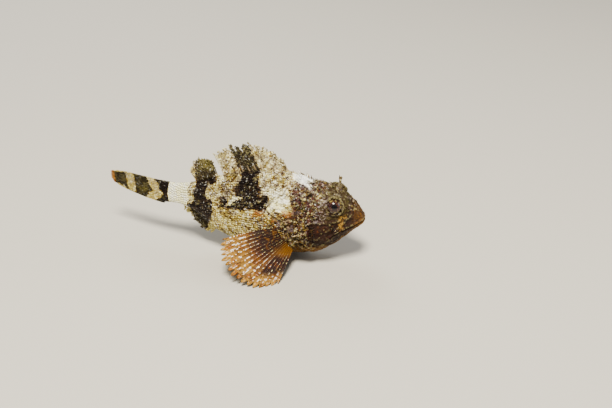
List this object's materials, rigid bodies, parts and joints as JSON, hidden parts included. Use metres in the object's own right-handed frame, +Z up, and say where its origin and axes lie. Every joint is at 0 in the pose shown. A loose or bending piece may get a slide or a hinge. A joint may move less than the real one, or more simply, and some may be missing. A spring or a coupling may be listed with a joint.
{
  "type": "black scorpionfish, still model",
  "caption": "Life-size still model of a black scorpionfish resting on its spread breast and belly fins, tail raised and bent to its left.",
  "frame": {"origin": "floor level, under the middle of the model's box", "axes": "+X is forwards, from the tail to the snout; +Y is the fish's left; +Z is up"},
  "size_m": [0.1218, 0.0621, 0.0533],
  "materials": {
    "dark_skin": "rough, mottled dark brown skin",
    "pale_skin": "rough, pale mottled skin",
    "fin": "thin membrane over banded rays",
    "eye": "glossy cornea over a dark iris"
  },
  "bodies": {
    "root": {"head": "dark_skin", "lower_jaw": "dark_skin", "trunk": "pale_skin", "tail_stalk": "pale_skin", "eye_left": "eye", "eye_right": "eye", "tentacle_left": "dark_skin", "tentacle_right": "dark_skin", "dorsal_fin_spiny": "fin", "dorsal_fin_soft": "fin", "anal_fin": "fin", "caudal_fin": "fin", "pectoral_fin_left": "fin", "pectoral_fin_right": "fin", "pelvic_fin_left": "fin", "pelvic_fin_right": "fin"}
  },
  "joints": []
}
